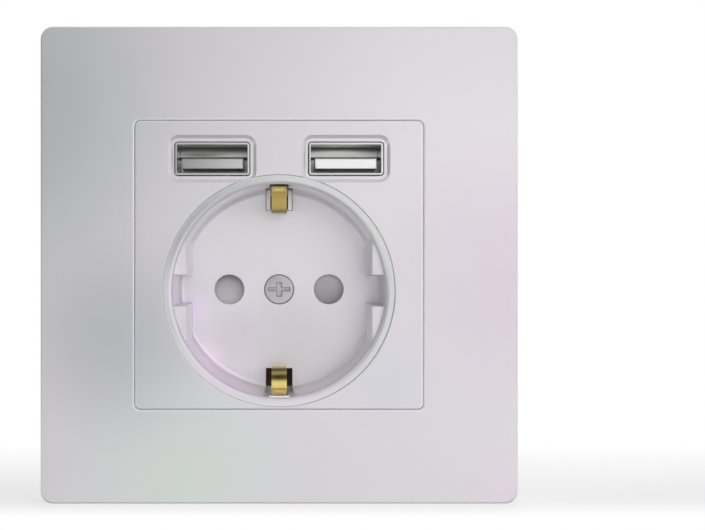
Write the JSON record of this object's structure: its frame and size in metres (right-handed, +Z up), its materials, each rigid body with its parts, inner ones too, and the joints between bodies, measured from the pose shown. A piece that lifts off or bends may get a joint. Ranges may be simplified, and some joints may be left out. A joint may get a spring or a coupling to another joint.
{
  "type": "usb wall socket",
  "caption": "Square flush wall socket with a round earthed plug recess behind a shutter and a pair of charging ports above it.",
  "frame": {"origin": "centre of the wall screw pattern, on the wall plane", "axes": "+Y into the wall, room towards -Y, +Z up, +X right as seen from the room"},
  "size_m": [0.086, 0.0437, 0.086],
  "materials": {
    "frame_plastic": "smooth satin, pearl white",
    "cover_plastic": "smooth satin, pearl white",
    "pot_plastic": "satin, pearl white",
    "shutter_plastic": "grey, matt",
    "screw_zinc": "zinc plated",
    "sheet_steel": "galvanised sheet",
    "port_nickel": "nickel plated",
    "tongue_plastic": "white",
    "contact_gold": "gold flashed",
    "clip_brass": "bright brass",
    "contact_brass": "plain brass",
    "housing_plastic": "light grey, matt",
    "carrier_plastic": "black, matt",
    "spring_steel": "wire",
    "board_laminate": "green lacquer",
    "ferrite": "dark grey, matt",
    "coil_tape": "yellow tape",
    "capacitor_sleeve": "black sleeve",
    "chip_resin": "black resin",
    "fuse_body": "brown red lacquer",
    "wire_insulation": "blue insulation"
  },
  "bodies": {
    "socket": {"outer_frame": "frame_plastic", "cover_plate": "cover_plastic", "socket_pot": "pot_plastic", "centre_screw": "screw_zinc", "screw_nut": "contact_brass", "shutter_spring": "spring_steel", "earth_clip": "clip_brass", "housing_body": "housing_plastic", "contact_carrier": "carrier_plastic", "line_contact": "contact_brass", "neutral_contact": "contact_brass", "line_terminal": "contact_brass", "neutral_terminal": "contact_brass", "earth_terminal": "contact_brass", "terminal_screws": "screw_zinc", "usb_shell_left": "port_nickel", "usb_shell_right": "port_nickel", "usb_tongue_left": "tongue_plastic", "usb_tongue_right": "tongue_plastic", "usb_contacts_left": "contact_gold", "usb_contacts_right": "contact_gold", "port_board": "board_laminate", "transformer_core": "ferrite", "transformer_coil": "coil_tape", "input_capacitor": "capacitor_sleeve", "output_capacitors": "capacitor_sleeve", "driver_chip": "chip_resin", "filter_choke": "ferrite", "fuse": "fuse_body", "feed_wires": "wire_insulation", "rear_cover": "housing_plastic", "rear_cover_screws": "screw_zinc", "support_plate": "sheet_steel", "plate_screws": "screw_zinc"},
    "shutter": {"shutter": "shutter_plastic"},
    "claw_left": {"claw_left": "sheet_steel"},
    "claw_right": {"claw_right": "sheet_steel"},
    "claw_screw_left": {"claw_screw_left": "screw_zinc"},
    "claw_screw_right": {"claw_screw_right": "screw_zinc"}
  },
  "joints": [
    {"name": "shutter_turn", "type": "hinge", "parent": "socket", "child": "shutter", "pos_m": [0, 0.0115, -0.00465], "axis": [0, -1, 0], "range_deg": [0, 42], "stiffness_Nm_per_rad": 0.002, "springref_deg": -17.19, "deforming": ["shutter_spring"]},
    {"name": "claw_left_swing", "type": "hinge", "parent": "socket", "child": "claw_left", "pos_m": [-0.0294, 0.003, 0], "axis": [0, 0, 1], "range_deg": [0, 20]},
    {"name": "claw_screw_left_travel", "type": "slide", "parent": "socket", "child": "claw_screw_left", "axis": [0, 1, 0], "range_m": [0, 0.0015]},
    {"name": "claw_right_swing", "type": "hinge", "parent": "socket", "child": "claw_right", "pos_m": [0.0294, 0.003, 0], "axis": [0, 0, -1], "range_deg": [0, 20]},
    {"name": "claw_screw_right_travel", "type": "slide", "parent": "socket", "child": "claw_screw_right", "axis": [0, 1, 0], "range_m": [0, 0.0015]}
  ],
  "couplings": [
    {"joint": "claw_screw_left_travel", "follows": "claw_left_swing", "m_per_rad": 0.004},
    {"joint": "claw_screw_right_travel", "follows": "claw_right_swing", "m_per_rad": 0.004}
  ]
}
